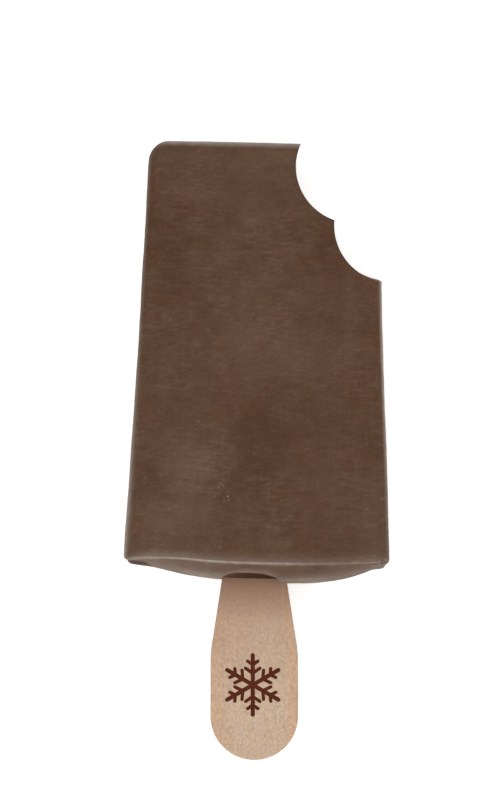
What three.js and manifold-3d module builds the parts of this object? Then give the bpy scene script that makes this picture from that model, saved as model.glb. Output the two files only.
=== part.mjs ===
// A chocolate ice cream bar on a shaped wooden stick, bitten twice at one corner of its tip.
// Millimetres, +Z up. The bar lies on its back with its flat front face up. The stick points along -Y,
// and the origin is on the supporting surface, under the middle of the whole object.

import * as THREE from 'three';
import { mergeVertices } from 'three/addons/utils/BufferGeometryUtils.js';
import Module from 'manifold-3d';

const wasm = await Module();
wasm.setup();

// Bar: a moulded block that narrows and thins from its base, where the stick leaves it, to its tip
const BAR_LENGTH = 84.6;
const BASE_WIDTH = 52.6;
const TIP_WIDTH = 46.0;
const BASE_THICKNESS = 22.6;
const TIP_THICKNESS = 19.4;
const TIP_CORNER_RADIUS = 4.2;
const BASE_CORNER_RADIUS = 0.9;
const SIDE_EDGE_RADIUS = 2.2;
const TIP_EDGE_RADIUS = 3.0;
const RIM_RADIUS = 0.35;
const RIM_BOW = 0.5;
const RIM_BOW_LENGTH = 8;

// Base face: it froze open, so it swells out round the stick inside a sharp rim
const DOME_HEIGHT = 3.1;
const DOME_HALF_WIDTH = 23.2;
const DOME_CENTRE = 1.0;
const DOME_SKEW = 0.2;
const DOME_FULLNESS = 3;

// Pocket melted out of the swelling in front of the stick: a round arch over the stick, seen from the
// base. Its wall leans in from its foot, where it meets the stick's front face.
const POCKET_HALF_WIDTH = 5.8;
const POCKET_HEIGHT = 9.2;
const POCKET_ROUNDNESS = 3;
const POCKET_FOOT = 2.98;
const POCKET_LEAN = 0.2;
const POCKET_OFFSET = -0.7;
const POCKET_REACH = 6;

// Bites: two tooth arcs of one radius, seen from the front. Each is [across, up from the base]. They
// lean towards the tip from the front face to the back.
const BITE_RADIUS = 11.55;
const BITE_CENTRES = [
  [17.9, 79.6],
  [25.8, 67.7],
];
const BITE_LEAN = 0.19;
const BITE_SCOOP = 0.7;
const BITE_RIPPLE = 0.16;
const BITE_RIPPLES_ROUND = 23;

// Stick: a broad round-ended grip that narrows to the neck frozen into the bar
const STICK_LENGTH = 94;
const STICK_REACH = 39.1;
const STICK_THICKNESS = 2.0;
const GRIP_WIDTH = 17.5;
const NECK_WIDTH = 11;
const NECK_START = 3.2;
const SHOULDER_START = -19.8;
const SHOULDER_END = -14.6;
const SHOULDER_END_WIDTH = 16.5;
const STICK_EDGE = 0.3;
const STICK_OFFSET = -0.4;
const STICK_TURN_DEG = 1.2;
const FIT_GAP = 0.3;

// How finely the shapes are divided
const BAR_STEPS = { across: 20, along: 24, through: 10 };
const BITE_STEPS = { round: 72, through: 10 };
const POCKET_STEPS = 20;
const OUTLINE_STEPS = 8;

const { degToRad, lerp } = THREE.MathUtils;
const draftAngle = Math.atan((BASE_THICKNESS - TIP_THICKNESS) / 2 / BAR_LENGTH);

// Solids and geometries

function toSolid(geometry) {
  const bare = geometry.clone();
  bare.deleteAttribute('normal');
  bare.deleteAttribute('uv');
  const merged = mergeVertices(bare);
  return new wasm.Manifold(new wasm.Mesh({
    numProp: 3,
    vertProperties: new Float32Array(merged.attributes.position.array),
    triVerts: new Uint32Array(merged.index.array),
  }));
}

function toGeometry(solid) {
  const mesh = solid.getMesh();
  const geometry = new THREE.BufferGeometry();
  geometry.setAttribute('position', new THREE.BufferAttribute(mesh.vertProperties, 3));
  geometry.setIndex(new THREE.BufferAttribute(mesh.triVerts, 1));
  geometry.computeVertexNormals();
  return geometry;
}

function movePoints(geometry, place) {
  const position = geometry.attributes.position;
  const point = new THREE.Vector3();
  for (let i = 0; i < position.count; i += 1) {
    place(point.fromBufferAttribute(position, i));
    position.setXYZ(i, point.x, point.y, point.z);
  }
  return geometry;
}

// Bar

// The blend from a side edge (0) to an end edge (1), by how far round an outline's corner a point lies
function endShare(a, b, halfA, halfB, radius) {
  const beyondSide = Math.max(Math.abs(a) - (halfA - radius), 0);
  const beyondEnd = Math.max(Math.abs(b) - (halfB - radius), 0);
  return beyondEnd > 0 ? beyondEnd / (beyondSide + beyondEnd) : 0;
}

// Takes a point on a box's square edge onto the rounded one: inset is measured in from the outline,
// and drop from the flat face
function roundEdge(inset, drop, radius) {
  const across = Math.max(radius - inset, 0);
  const down = Math.max(radius - drop, 0);
  const shrink = Math.max(across, down) / (Math.hypot(across, down) || 1);
  return {
    inset: across > 0 ? radius - across * shrink : inset,
    drop: down > 0 ? radius - down * shrink : drop,
  };
}

// Takes a point in a square corner of an outline onto the round corner's arcs
function roundCorner(a, b, halfA, halfB, radius) {
  const centreA = THREE.MathUtils.clamp(a, radius - halfA, halfA - radius);
  const centreB = THREE.MathUtils.clamp(b, radius - halfB, halfB - radius);
  const da = a - centreA;
  const db = b - centreB;
  const shrink = Math.max(Math.abs(da), Math.abs(db)) / (Math.hypot(da, db) || 1);
  return [centreA + da * shrink, centreB + db * shrink];
}

// Rounds the edges between a box's outline, in a and b, and its c faces, and the outline's corners
function roundBox([a, b, c], [halfA, halfB, halfC], edgeRadius, cornerRadius) {
  const inset = Math.min(halfA - Math.abs(a), halfB - Math.abs(b));
  const rounded = roundEdge(inset, halfC - Math.abs(c), edgeRadius);
  const ringA = a * (halfA - rounded.inset) / Math.max(halfA - inset, 1e-6);
  const ringB = b * (halfB - rounded.inset) / Math.max(halfB - inset, 1e-6);
  const [roundA, roundB] = roundCorner(ringA, ringB, halfA, halfB, cornerRadius);
  return [roundA, roundB, Math.sign(c) * (halfC - rounded.drop)];
}

// The bar's plan has round corners at the tip, and its cross-section has them up to the base's rim
function roundTip(x, y, z, [halfX, halfY, halfZ]) {
  const share = endShare(x, y, halfX, halfY, TIP_CORNER_RADIUS);
  const edgeRadius = lerp(SIDE_EDGE_RADIUS, TIP_EDGE_RADIUS, share);
  return roundBox([x, y, z], [halfX, halfY, halfZ], edgeRadius, TIP_CORNER_RADIUS);
}

function roundBase(x, y, z, [halfX, halfY, halfZ]) {
  const share = endShare(x, z, halfX, halfZ, SIDE_EDGE_RADIUS);
  const edgeRadius = lerp(BASE_CORNER_RADIUS, RIM_RADIUS, share);
  const [newX, newZ, newY] = roundBox([x, z, y], [halfX, halfZ, halfY], edgeRadius, SIDE_EDGE_RADIUS);
  return [newX, newY, newZ];
}

function domeHeight(x, z) {
  const across = (x - DOME_CENTRE) / DOME_HALF_WIDTH;
  const through = z / (BASE_THICKNESS / 2);
  const fullAcross = Math.max(1 - Math.abs(across) ** DOME_FULLNESS, 0);
  const fullThrough = Math.sqrt(Math.max(1 - through * through, 0));
  return DOME_HEIGHT * (1 + DOME_SKEW * across) * fullAcross * fullThrough;
}

// Places a point of the unit cube's surface on the bar. The bar's own frame has the middle of the
// rim's plane at its origin, the tip along +Y and the front face up.
function placeOnBar(point) {
  const halfWidth = (BASE_WIDTH + TIP_WIDTH) / 4;
  const halfThickness = (BASE_THICKNESS + TIP_THICKNESS) / 4;
  const halfLength = BAR_LENGTH / 2;
  const onBaseFace = point.y < -0.999;
  const crowd = (t) => Math.sin(t * Math.PI / 2);
  const x = halfWidth * crowd(point.x);
  const y = halfLength * crowd(point.y);
  const z = halfThickness * crowd(point.z);

  const sizes = [halfWidth, halfLength, halfThickness];
  const [evenX, evenY, evenZ] = y > 0 ? roundTip(x, y, z, sizes) : roundBase(x, y, z, sizes);
  const along = evenY + halfLength;
  const share = along / BAR_LENGTH;
  const outX = evenX * lerp(BASE_WIDTH, TIP_WIDTH, share) / (2 * halfWidth);
  const outZ = evenZ * lerp(BASE_THICKNESS, TIP_THICKNESS, share) / (2 * halfThickness);
  const bow = RIM_BOW * Math.max(1 - (evenX / halfWidth) ** 2, 0) * Math.max(1 - along / RIM_BOW_LENGTH, 0);
  point.set(outX, along - bow - (onBaseFace ? domeHeight(outX, outZ) : 0), outZ);
}

function blockSolid() {
  const { across, along, through } = BAR_STEPS;
  const cube = new THREE.BoxGeometry(2, 2, 2, across, along, through);
  cube.deleteAttribute('normal');
  cube.deleteAttribute('uv');
  return toSolid(movePoints(mergeVertices(cube), placeOnBar));
}

// One tooth arc, hollowed between the front and back faces and faintly grooved from front to back
function biteSolid([across, up]) {
  const height = BASE_THICKNESS + 8;
  const { round, through } = BITE_STEPS;
  const cutter = new THREE.CylinderGeometry(BITE_RADIUS, BITE_RADIUS, height, round, through);
  cutter.rotateX(Math.PI / 2);
  movePoints(cutter, (point) => {
    const depth = Math.max(1 - (point.z / (TIP_THICKNESS / 2)) ** 2, 0);
    const groove = Math.sin(BITE_RIPPLES_ROUND * Math.atan2(point.y, point.x));
    const reach = Math.hypot(point.x, point.y);
    const grow = 1 + depth * (BITE_SCOOP + BITE_RIPPLE * groove) / BITE_RADIUS;
    if (reach > BITE_RADIUS / 2) point.set(point.x * grow, point.y * grow, point.z);
    point.y += BITE_LEAN * (TIP_THICKNESS / 2 - point.z);
  });
  cutter.translate(across, up, 0);
  return toSolid(cutter);
}

// The pocket's arch across and above the stick, pushed out along -Y from its leaning wall
function pocketSolid() {
  const arch = new THREE.Shape();
  const round = (value) => Math.sign(value) * Math.abs(value) ** (2 / POCKET_ROUNDNESS);
  for (let i = 0; i <= POCKET_STEPS; i += 1) {
    const turn = Math.PI * i / POCKET_STEPS;
    const x = POCKET_HALF_WIDTH * round(Math.cos(turn));
    const z = POCKET_HEIGHT * round(Math.max(Math.sin(turn), 0));
    if (i === 0) arch.moveTo(x, 0);
    else arch.lineTo(x, i === POCKET_STEPS ? 0 : z);
  }
  const cutter = new THREE.ExtrudeGeometry(arch, { depth: 1, bevelEnabled: false });
  cutter.rotateX(Math.PI / 2);
  movePoints(cutter, (point) => {
    const wall = -POCKET_FOOT + POCKET_LEAN * (point.z - STICK_THICKNESS / 2);
    point.y = lerp(wall, -POCKET_REACH, -point.y);
  });
  cutter.translate(STICK_OFFSET + POCKET_OFFSET, 0, 0);
  return toSolid(cutter);
}

// Stick

// The stick's outline, with its round grip end along -Y. grow widens it all round.
function stickShape(grow = 0) {
  const grip = GRIP_WIDTH / 2 + grow;
  const neck = NECK_WIDTH / 2 + grow;
  const shoulder = SHOULDER_END_WIDTH / 2 + grow;
  const outerY = -STICK_REACH + GRIP_WIDTH / 2;
  const innerY = STICK_LENGTH - STICK_REACH - NECK_WIDTH / 2;
  const shape = new THREE.Shape();
  shape.moveTo(grip, outerY);
  shape.lineTo(grip, SHOULDER_START);
  shape.quadraticCurveTo(grip, (SHOULDER_START + SHOULDER_END) / 2, shoulder, SHOULDER_END);
  shape.lineTo(neck, NECK_START);
  shape.lineTo(neck, innerY);
  shape.absarc(0, innerY, neck, 0, Math.PI, false);
  shape.lineTo(-neck, NECK_START);
  shape.lineTo(-shoulder, SHOULDER_END);
  shape.quadraticCurveTo(-grip, (SHOULDER_START + SHOULDER_END) / 2, -grip, SHOULDER_START);
  shape.lineTo(-grip, outerY);
  shape.absarc(0, outerY, grip, Math.PI, 2 * Math.PI, false);
  return shape;
}

function stickGeometry() {
  const geometry = new THREE.ExtrudeGeometry(stickShape(), {
    depth: STICK_THICKNESS - 2 * STICK_EDGE,
    curveSegments: OUTLINE_STEPS,
    bevelThickness: STICK_EDGE,
    bevelSize: STICK_EDGE,
    bevelOffset: -STICK_EDGE,
    bevelSegments: 2,
  });
  geometry.translate(0, 0, STICK_EDGE - STICK_THICKNESS / 2);
  return toGeometry(toSolid(geometry));
}

function slotSolid() {
  const depth = STICK_THICKNESS + 2 * FIT_GAP;
  const geometry = new THREE.ExtrudeGeometry(stickShape(FIT_GAP), {
    depth,
    curveSegments: OUTLINE_STEPS,
    bevelEnabled: false,
  });
  geometry.translate(0, 0, -depth / 2);
  geometry.rotateZ(degToRad(STICK_TURN_DEG));
  geometry.translate(STICK_OFFSET, 0, 0);
  return toSolid(geometry);
}

function barGeometry() {
  let bar = blockSolid();
  for (const centre of BITE_CENTRES) bar = bar.subtract(biteSolid(centre));
  bar = bar.subtract(pocketSolid()).subtract(slotSolid());
  return toGeometry(bar);
}

// Assembly: the draft angle lays the back face flat, and the turn brings the stick in line with Y

const chocolate = new THREE.MeshStandardMaterial({ color: 0x5e4739, roughness: 0.55, metalness: 0 });
const birch = new THREE.MeshStandardMaterial({ color: 0xc3a587, roughness: 0.7, metalness: 0 });

const bar = new THREE.Mesh(barGeometry(), chocolate);
bar.name = 'ice_cream';

const stick = new THREE.Mesh(stickGeometry(), birch);
stick.name = 'stick';
stick.position.x = STICK_OFFSET;
stick.rotation.z = degToRad(STICK_TURN_DEG);

const onItsBack = new THREE.Group();
onItsBack.rotation.x = -draftAngle;
onItsBack.add(bar, stick);

const turned = new THREE.Group();
turned.rotation.z = -degToRad(STICK_TURN_DEG);
turned.add(onItsBack);

const iceCreamBar = new THREE.Group();
iceCreamBar.add(turned);
iceCreamBar.updateMatrixWorld(true);
const footprint = new THREE.Box3().setFromObject(iceCreamBar, true);
const middle = footprint.getCenter(new THREE.Vector3());
turned.position.set(-middle.x, -middle.y, -footprint.min.z);

export default iceCreamBar;
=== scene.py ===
# A chocolate ice cream bar on a shaped wooden stick, bitten twice at one corner of its tip. It lies
# on a pale floor. Shapes are made in millimetres in the bar's own frame: the middle of the rim's
# plane is at the origin, the tip is along +Y and the front face is up. make_pieces() then takes
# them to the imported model's frame, in metres, by the matrix that to_frame() gives.
import math

import bpy
import numpy as np
from mathutils import Matrix, Vector, noise


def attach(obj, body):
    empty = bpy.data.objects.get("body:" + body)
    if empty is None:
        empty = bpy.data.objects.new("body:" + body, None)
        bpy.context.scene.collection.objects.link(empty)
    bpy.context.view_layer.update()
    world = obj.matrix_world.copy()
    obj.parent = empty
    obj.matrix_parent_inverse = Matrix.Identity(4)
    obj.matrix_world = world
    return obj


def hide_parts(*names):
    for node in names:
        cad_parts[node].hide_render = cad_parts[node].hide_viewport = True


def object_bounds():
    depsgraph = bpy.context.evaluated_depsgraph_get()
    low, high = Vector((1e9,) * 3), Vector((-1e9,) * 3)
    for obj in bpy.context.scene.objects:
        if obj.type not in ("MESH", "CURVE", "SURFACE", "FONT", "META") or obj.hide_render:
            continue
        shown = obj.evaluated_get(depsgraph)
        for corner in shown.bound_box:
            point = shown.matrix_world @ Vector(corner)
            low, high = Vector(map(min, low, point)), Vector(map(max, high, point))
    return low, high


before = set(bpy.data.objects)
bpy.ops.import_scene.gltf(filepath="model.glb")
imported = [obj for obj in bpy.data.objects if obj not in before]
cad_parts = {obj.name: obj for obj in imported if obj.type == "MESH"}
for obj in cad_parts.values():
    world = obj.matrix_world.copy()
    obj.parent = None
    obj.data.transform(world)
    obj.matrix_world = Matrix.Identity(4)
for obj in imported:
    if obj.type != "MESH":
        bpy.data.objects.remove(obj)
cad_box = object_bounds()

MM = 0.001
SEED = 11

# Bar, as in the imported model
BAR_LENGTH = 84.6
BASE_WIDTH = 52.6
TIP_WIDTH = 46.0
BASE_THICKNESS = 22.6
TIP_THICKNESS = 19.4
TIP_CORNER_RADIUS = 4.2
BASE_CORNER_RADIUS = 0.9
SIDE_EDGE_RADIUS = 2.2
TIP_EDGE_RADIUS = 3.0
RIM_RADIUS = 0.35
RIM_BOW = 0.5
RIM_BOW_LENGTH = 8.0
DOME_HEIGHT = 3.1
DOME_HALF_WIDTH = 23.2
DOME_CENTRE = 1.0
DOME_SKEW = 0.2
DOME_FULLNESS = 3
POCKET_HALF_WIDTH = 5.8
POCKET_HEIGHT = 9.2
POCKET_ROUNDNESS = 3
POCKET_FOOT = 2.98
POCKET_LEAN = 0.2
POCKET_OFFSET = -0.7
POCKET_REACH = 6.0
BITE_RADIUS = 11.55
BITE_CENTRES = ((17.9, 79.6), (25.8, 67.7))
BITE_LEAN = 0.19
BITE_SCOOP = 0.7
BITE_RIPPLE = 0.16
BITE_RIPPLES_ROUND = 23

# Stick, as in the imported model
STICK_LENGTH = 94.0
STICK_REACH = 39.1
STICK_THICKNESS = 2.0
GRIP_WIDTH = 17.5
NECK_WIDTH = 11.0
NECK_START = 3.2
SHOULDER_START = -19.8
SHOULDER_END = -14.6
SHOULDER_END_WIDTH = 16.5
STICK_EDGE = 0.3
STICK_OFFSET = -0.4
STICK_TURN = math.radians(1.2)

# How finely the bar is divided along each axis, and how far its points crowd towards the edges
BAR_STEPS = (120, 196, 54)
CROWDING = (0.7, 0.78, 0.75)
BITE_STEPS = (264, 72)

# Relief of the bar's skin: height and size in mm
WAVE_HEIGHT = 0.09
WAVE_SIZE = 13.0
STREAK_HEIGHT = 0.03
STREAK_SIZE = (5.0, 1.1, 5.0)

# The front and the back face each lean inwards by this much, towards the tip
DRAFT_ANGLE = math.atan((BASE_THICKNESS - TIP_THICKNESS) / 2 / BAR_LENGTH)

# Where a divisor can be nothing, it is kept at least this large
LEAST = 1e-9
LEAST_REACH = 1e-6

# How much weaker and how much finer each further octave of smooth noise is
OCTAVE_FALL = 1.0
OCTAVE_RATIO = 2.0


# Small helpers for arrays of points

def lerp(a, b, t):
    return a + (b - a) * t


def smooth_step(low, high, value):
    """From 0 at low to 1 at high, with soft ends. Low may be the larger of the two."""
    t = np.clip((value - low) / (high - low), 0, 1)
    return t * t * (3 - 2 * t)


def bell(value, centre, width):
    return np.exp(-(((value - centre) / width) ** 2))


def fractal(points, size, octaves=3, shift=0.0):
    """Smooth noise of about -1 to 1 at each point, with features of the given size."""
    scaled = points / np.asarray(size, float) + shift
    return np.array([noise.fractal(Vector(p), OCTAVE_FALL, OCTAVE_RATIO, octaves) for p in scaled])


# Meshes

def new_mesh(name, points, faces):
    mesh = bpy.data.meshes.new(name)
    mesh.from_pydata([tuple(p) for p in points], [], [tuple(f) for f in faces])
    mesh.update()
    return mesh


def mesh_points(mesh):
    flat = np.empty(len(mesh.vertices) * 3)
    mesh.vertices.foreach_get("co", flat)
    return flat.reshape(-1, 3)


def set_mesh_points(mesh, points):
    mesh.vertices.foreach_set("co", np.ascontiguousarray(points, float).ravel())
    mesh.update()


def mesh_normals(mesh):
    flat = np.empty(len(mesh.vertices) * 3)
    mesh.vertex_normals.foreach_get("vector", flat)
    return flat.reshape(-1, 3)


def set_attribute(mesh, name, values):
    layer = mesh.attributes.new(name, "FLOAT", "POINT")
    layer.data.foreach_set("value", np.ascontiguousarray(values, float))


def new_object(name, mesh):
    obj = bpy.data.objects.new(name, mesh)
    bpy.context.scene.collection.objects.link(obj)
    return obj


def carve(mesh, cutter_mesh, solver="MANIFOLD"):
    """The mesh less the cutter, as a new mesh. The cut takes the cutter's material, if it has one."""
    body = new_object("carved", mesh)
    cutter = new_object("cutter", cutter_mesh)
    modifier = body.modifiers.new("carve", "BOOLEAN")
    modifier.operation = "DIFFERENCE"
    modifier.solver = solver
    modifier.object = cutter
    if solver == "EXACT":
        modifier.use_self = True
        modifier.material_mode = "TRANSFER"
    graph = bpy.context.evaluated_depsgraph_get()
    result = bpy.data.meshes.new_from_object(body.evaluated_get(graph))
    bpy.data.objects.remove(body)
    bpy.data.objects.remove(cutter)
    return result


def tube(rings, name):
    """A closed tube through rings of points, which turn the same way about the tube's axis."""
    levels, around, _ = rings.shape
    index = np.arange(levels * around).reshape(levels, around)
    after = np.roll(index, -1, axis=1)
    sides = np.stack([index[:-1], after[:-1], after[1:], index[1:]], -1).reshape(-1, 4)
    faces = [tuple(f) for f in sides] + [tuple(index[0][::-1]), tuple(index[-1])]
    return new_mesh(name, rings.reshape(-1, 3), faces)


# Bar

def box_lattice(steps):
    """The surface of a box of unit cells: its points from -1 to 1, and its quads, wound outwards."""
    index = np.full([n + 1 for n in steps], -1)
    on_surface = np.zeros(index.shape, bool)
    for axis in range(3):
        for end in (0, -1):
            on_surface[tuple(end if a == axis else slice(None) for a in range(3))] = True
    index[on_surface] = np.arange(on_surface.sum())
    quads = []
    for axis in range(3):
        for end in (0, -1):
            side = np.take(index, end, axis=axis)
            ring = np.stack([side[:-1, :-1], side[1:, :-1], side[1:, 1:], side[:-1, 1:]], -1)
            inward = (end == 0) != (axis == 1)
            quads.append(ring.reshape(-1, 4)[:, ::-1] if inward else ring.reshape(-1, 4))
    return np.argwhere(on_surface) / np.array(steps) * 2 - 1, np.concatenate(quads)


def half_width(y):
    """Half of the tapered bar's width, this far up from its base."""
    return lerp(BASE_WIDTH, TIP_WIDTH, y / BAR_LENGTH) / 2


def half_thickness(y):
    """Half of the tapered bar's thickness, this far up from its base."""
    return lerp(BASE_THICKNESS, TIP_THICKNESS, y / BAR_LENGTH) / 2


def end_share(a, b, half_a, half_b, radius):
    """From 0 at a side edge to 1 at an end edge, by how far round an outline's corner a point lies."""
    beyond_side = np.maximum(np.abs(a) - (half_a - radius), 0)
    beyond_end = np.maximum(np.abs(b) - (half_b - radius), 0)
    return np.where(beyond_end > 0, beyond_end / np.maximum(beyond_side + beyond_end, LEAST), 0)


def round_edge(inset, drop, radius):
    """Moves points near a box's square edge onto the rounded one."""
    across = np.maximum(radius - inset, 0)
    down = np.maximum(radius - drop, 0)
    shrink = np.maximum(across, down) / np.maximum(np.hypot(across, down), LEAST)
    return (np.where(across > 0, radius - across * shrink, inset),
            np.where(down > 0, radius - down * shrink, drop))


def round_corner(a, b, half_a, half_b, radius):
    """Moves points in an outline's square corners onto the round corners' arcs."""
    centre_a = np.clip(a, radius - half_a, half_a - radius)
    centre_b = np.clip(b, radius - half_b, half_b - radius)
    da, db = a - centre_a, b - centre_b
    shrink = np.maximum(np.abs(da), np.abs(db)) / np.maximum(np.hypot(da, db), LEAST)
    return centre_a + da * shrink, centre_b + db * shrink


def round_box(a, b, c, sizes, edge, corner):
    """Rounds the edges between a box's outline, in a and b, and its c faces, and the outline's corners."""
    half_a, half_b, half_c = sizes
    inset = np.minimum(half_a - np.abs(a), half_b - np.abs(b))
    new_inset, new_drop = round_edge(inset, half_c - np.abs(c), edge)
    ring_a = a * (half_a - new_inset) / np.maximum(half_a - inset, LEAST_REACH)
    ring_b = b * (half_b - new_inset) / np.maximum(half_b - inset, LEAST_REACH)
    round_a, round_b = round_corner(ring_a, ring_b, half_a, half_b, corner)
    return round_a, round_b, np.sign(c) * (half_c - new_drop)


def round_tip(x, y, z, width, length, thickness):
    """The block with round corners in its plan."""
    share = end_share(x, y, width, length, TIP_CORNER_RADIUS)
    edge = lerp(SIDE_EDGE_RADIUS, TIP_EDGE_RADIUS, share)
    return np.array(round_box(x, y, z, (width, length, thickness), edge, TIP_CORNER_RADIUS))


def round_base(x, y, z, width, length, thickness):
    """The block with round corners in its cross-section, up to the base's rim."""
    share = end_share(x, z, width, thickness, SIDE_EDGE_RADIUS)
    edge = lerp(BASE_CORNER_RADIUS, RIM_RADIUS, share)
    new_x, new_z, new_y = round_box(x, z, y, (width, thickness, length), edge, SIDE_EDGE_RADIUS)
    return np.array([new_x, new_y, new_z])


def dome_height(x, z):
    """How far the open base face swells out below its rim's plane."""
    across = (x - DOME_CENTRE) / DOME_HALF_WIDTH
    through = z / (BASE_THICKNESS / 2)
    full_across = np.maximum(1 - np.abs(across) ** DOME_FULLNESS, 0)
    full_through = np.sqrt(np.maximum(1 - through * through, 0))
    return DOME_HEIGHT * (1 + DOME_SKEW * across) * full_across * full_through


# The rim's line strays from an even bow. Each is where across, how wide and how far up. They fade in
# from the bar's middle to its front.
RIM_STRAYS = ((-26.0, 3.0, -0.4), (-15.0, 5.0, 0.3), (6.0, 15.0, -0.22))
RIM_STRAY_FRONT = (3, 10)

# The back corners of the base are worn back a little. They fade in outwards, and towards the back.
TRIM_ACROSS = (21.0, 25.5)
TRIM_BACK = (8, -2)
TRIM_DEPTH = 0.25

# The long sides stray from straight lines. Each is which side, how far along, how long and how far out.
SIDE_STRAYS = ((-1, 79.0, 9.0, 0.2), (-1, 40.0, 13.0, -0.16), (1, 45.0, 14.0, -0.24))

# Lattice points below this are on the base face
ON_BASE_BELOW = -0.999

# The long edges' roundness turns into the tip edge's between these distances from the tip
TIP_EDGE_FADE = (2, 5)


def rim_shift(x, z, along):
    """How far the rim lies below the base's plane, fading out up the bar. Only its front strays."""
    bow = RIM_BOW * np.maximum(1 - (x / half_width(BAR_LENGTH / 2)) ** 2, 0)
    for centre, width, rise in RIM_STRAYS:
        bow = bow - rise * bell(x, centre, width) * smooth_step(*RIM_STRAY_FRONT, z)
    return bow * np.maximum(1 - along / RIM_BOW_LENGTH, 0)


def corner_trim(x, z, along):
    """How far the worn back corners of the base are set back, fading out up the bar."""
    worn = smooth_step(*TRIM_ACROSS, np.abs(x)) * smooth_step(*TRIM_BACK, z)
    return TRIM_DEPTH * worn * np.maximum(1 - along / RIM_BOW_LENGTH, 0)


def side_stray(x, along):
    """How far the points move across, from nothing in the middle to all of it at the sides."""
    share = x / half_width(along)
    return sum(side * out * np.maximum(side * share, 0) ** 2 * bell(along, centre, length)
               for side, centre, length, out in SIDE_STRAYS)


def bar_points(lattice):
    """Takes the lattice of a box to the moulded bar, and says which points are on its base face."""
    width = half_width(BAR_LENGTH / 2)
    thickness = half_thickness(BAR_LENGTH / 2)
    length = BAR_LENGTH / 2
    on_base = lattice[:, 1] < ON_BASE_BELOW
    crowded = lerp(lattice, np.sin(lattice * math.pi / 2), np.array(CROWDING))
    x, y, z = (crowded * (width, length, thickness)).T
    sizes = (width, length, thickness)
    even_x, even_y, even_z = np.where(y > 0, round_tip(x, y, z, *sizes), round_base(x, y, z, *sizes))
    along = even_y + length
    out_x = even_x * half_width(along) / width
    out_x = out_x + side_stray(out_x, along)
    out_z = even_z * half_thickness(along) / thickness
    dome = np.where(on_base, dome_height(out_x, out_z), 0)
    out_y = along - rim_shift(even_x, out_z, along) - dome + corner_trim(out_x, out_z, along)
    return np.stack([out_x, out_y, out_z], 1), on_base


def round_depth(first, second, radius):
    """The depth under two faces that meet in a rounded edge, up to its radius."""
    return radius - np.hypot(np.maximum(radius - first, 0), np.maximum(radius - second, 0))


def skin_depths(points):
    """How deep each point lies under the uncut bar's sides and under its base face."""
    x, y, z = points.T
    to_tip = BAR_LENGTH - y
    edge = lerp(TIP_EDGE_RADIUS, SIDE_EDGE_RADIUS, smooth_step(*TIP_EDGE_FADE, to_tip))
    outline = round_depth(half_width(y) - np.abs(x), to_tip, TIP_CORNER_RADIUS)
    sides = round_depth(outline, half_thickness(y) - np.abs(z), edge)
    base = y + rim_shift(x, z, np.maximum(y, 0)) + dome_height(x, z)
    return sides, base


# Shallow pits in the front face: across, up from the base, radius and depth
PITS = (
    (-7.2, 15.3, 0.55, 0.12),
    (-5.9, 14.2, 0.70, 0.16),
    (-5.4, 15.9, 0.45, 0.10),
    (-6.6, 13.2, 0.40, 0.10),
    (-10.4, 52.6, 0.50, 0.08),
    (12.8, 33.9, 0.60, 0.08),
)

# A pit only changes points this near its middle, and this near the face that it is in
PIT_WINDOW = 3
PIT_FACE_DEPTH = 0.4

# Small pits strewn over both faces
STRAY_PITS = 70
STRAY_PIT_ACROSS = (-22, 22)
STRAY_PIT_ALONG = (3, 81)
STRAY_PIT_RADIUS = (0.35, 0.8)
STRAY_PIT_DEPTH = (0.03, 0.09)

# The finer unevenness of the base face, and the rim's raised lip, which is ragged
BASE_GRAIN_HEIGHT = 0.08
BASE_GRAIN_SIZE = 3.0
LIP_HEIGHT = 0.08
LIP_WIDTH = 0.3
LIP_RAGGED_SHARE = 0.4
LIP_RAGGED_SIZE = 3.0

# The chipped corner at the right of the base. Within its core, a share of its reach, it is whole.
CHIP_CENTRE = (24.0, 0.0, 9.3)
CHIP_REACH = 3.2
CHIP_CORE = 0.45
CHIP_DEPTH = 0.38
CHIP_SIZE = 1.3
CHIP_ROUGHNESS = 2

# The shallow dimple at the left of the base face, across and through, which fades in inside the rim
DIMPLE_CENTRE = (-21.6, 9.0)
DIMPLE_REACH = (3.4, 3.0)
DIMPLE_DEPTH = 0.3
DIMPLE_FADE = (0.2, 1.2)


def stray_pits():
    """Pits at random places, as rows like those of PITS."""
    draw = np.random.default_rng(SEED)
    across = draw.uniform(*STRAY_PIT_ACROSS, STRAY_PITS)
    along = draw.uniform(*STRAY_PIT_ALONG, STRAY_PITS)
    radius = draw.uniform(*STRAY_PIT_RADIUS, STRAY_PITS)
    depth = draw.uniform(*STRAY_PIT_DEPTH, STRAY_PITS)
    return np.stack([across, along, radius, depth], 1)


def chip_share(points):
    """From 0 to 1, by how near each point is to the middle of the chipped corner."""
    away = np.linalg.norm(points - np.array(CHIP_CENTRE), axis=1)
    return 1 - smooth_step(CHIP_CORE * CHIP_REACH, CHIP_REACH, away)


def skin_relief(points, on_base):
    """How far each point of the skin stands out: waves, fine streaks, pits and the chipped corner."""
    x, y, z = points.T
    relief = WAVE_HEIGHT * fractal(points, WAVE_SIZE)
    relief += STREAK_HEIGHT * fractal(points, STREAK_SIZE, shift=40.0)
    relief += np.where(on_base, BASE_GRAIN_HEIGHT * fractal(points, BASE_GRAIN_SIZE, shift=80.0), 0)
    mirrored = stray_pits()[::-1] * (-1, 1, 1, 1)
    for side, pits in ((1, PITS), (-1, stray_pits()), (1, mirrored)):
        facing = side * z > half_thickness(y) - PIT_FACE_DEPTH
        for across, along, radius, depth in pits:
            near = facing & (np.abs(x - across) < PIT_WINDOW) & (np.abs(y - along) < PIT_WINDOW)
            away = np.hypot(x[near] - across, y[near] - along)
            relief[near] -= depth * np.exp(-((away / radius) ** 2))
    chips = np.abs(fractal(points, CHIP_SIZE, 2, shift=9.0))
    return relief - CHIP_DEPTH * chip_share(points) * chips * CHIP_ROUGHNESS


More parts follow.
